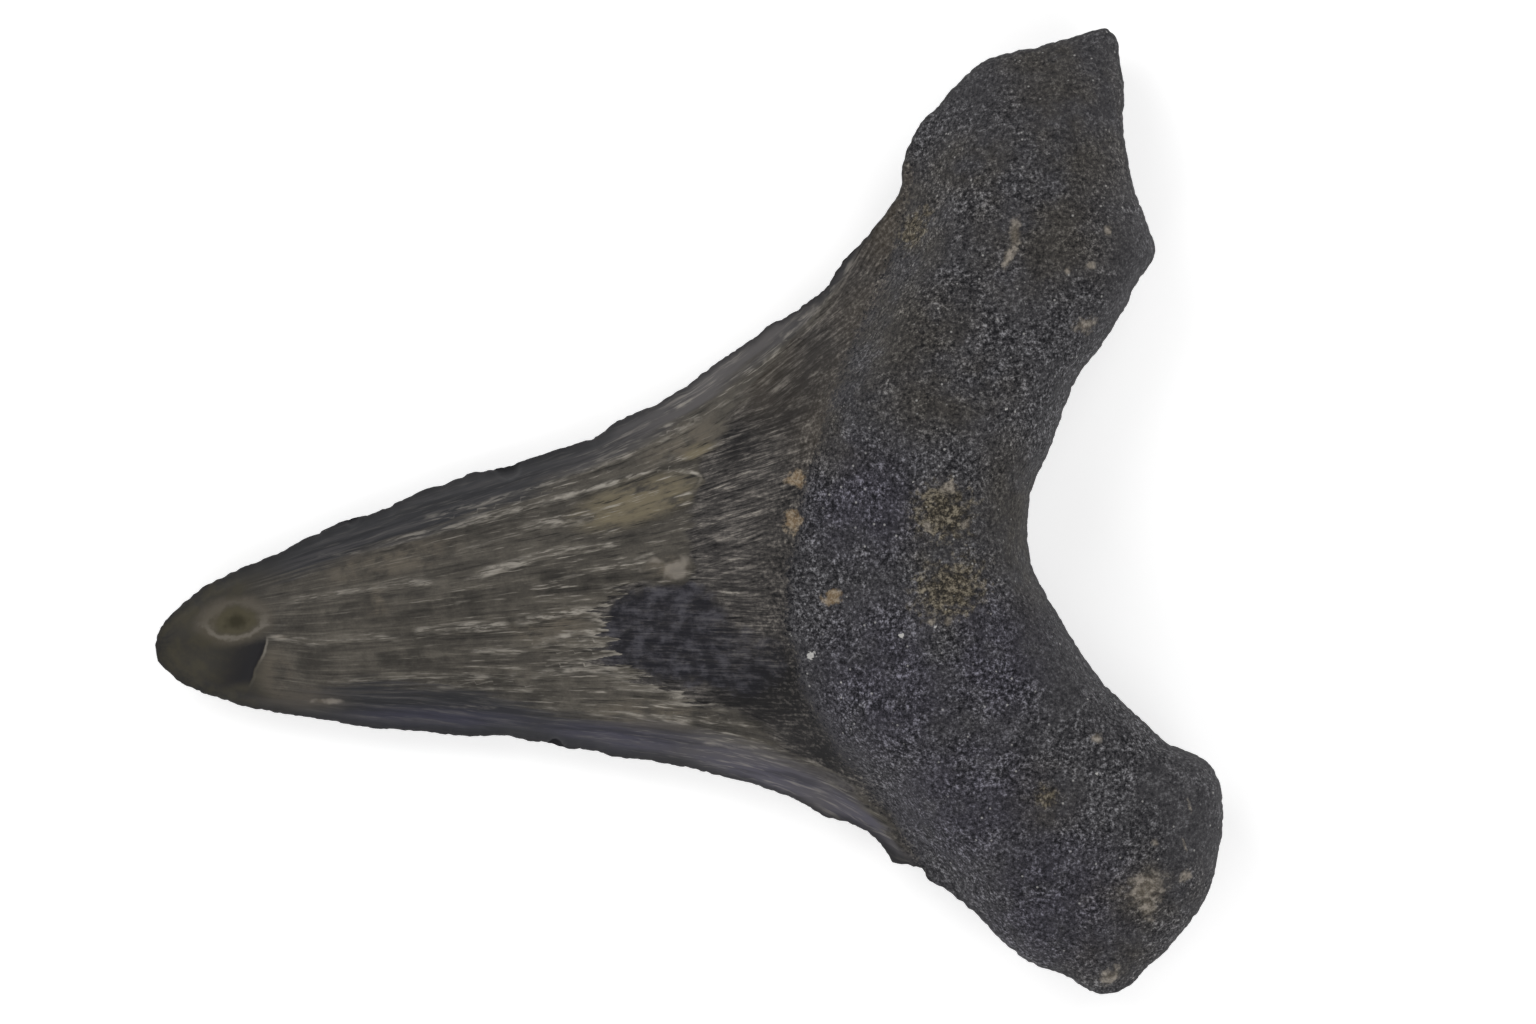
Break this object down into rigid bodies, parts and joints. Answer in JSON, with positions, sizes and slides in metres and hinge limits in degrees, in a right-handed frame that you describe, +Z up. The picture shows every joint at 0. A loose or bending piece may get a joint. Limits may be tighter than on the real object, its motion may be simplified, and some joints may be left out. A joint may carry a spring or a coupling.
{
  "type": "megalodon tooth fossil",
  "caption": "Dark grey fossil megalodon tooth lying flat, with a tapering crown, thin cutting edges and a broad forked root.",
  "frame": {"origin": "on the surface that the tooth rests on, under the middle of its bounding box", "axes": "+X along the crown from its tip to the root, +Y across it towards the longer root lobe, +Z up out of the bulging lingual face"},
  "size_m": [0.1044, 0.0954, 0.0221],
  "materials": {
    "tooth": "worn satin enamel on the crown, matt grainy stone on the root"
  },
  "bodies": {
    "root": {"tooth": "tooth"}
  },
  "joints": []
}
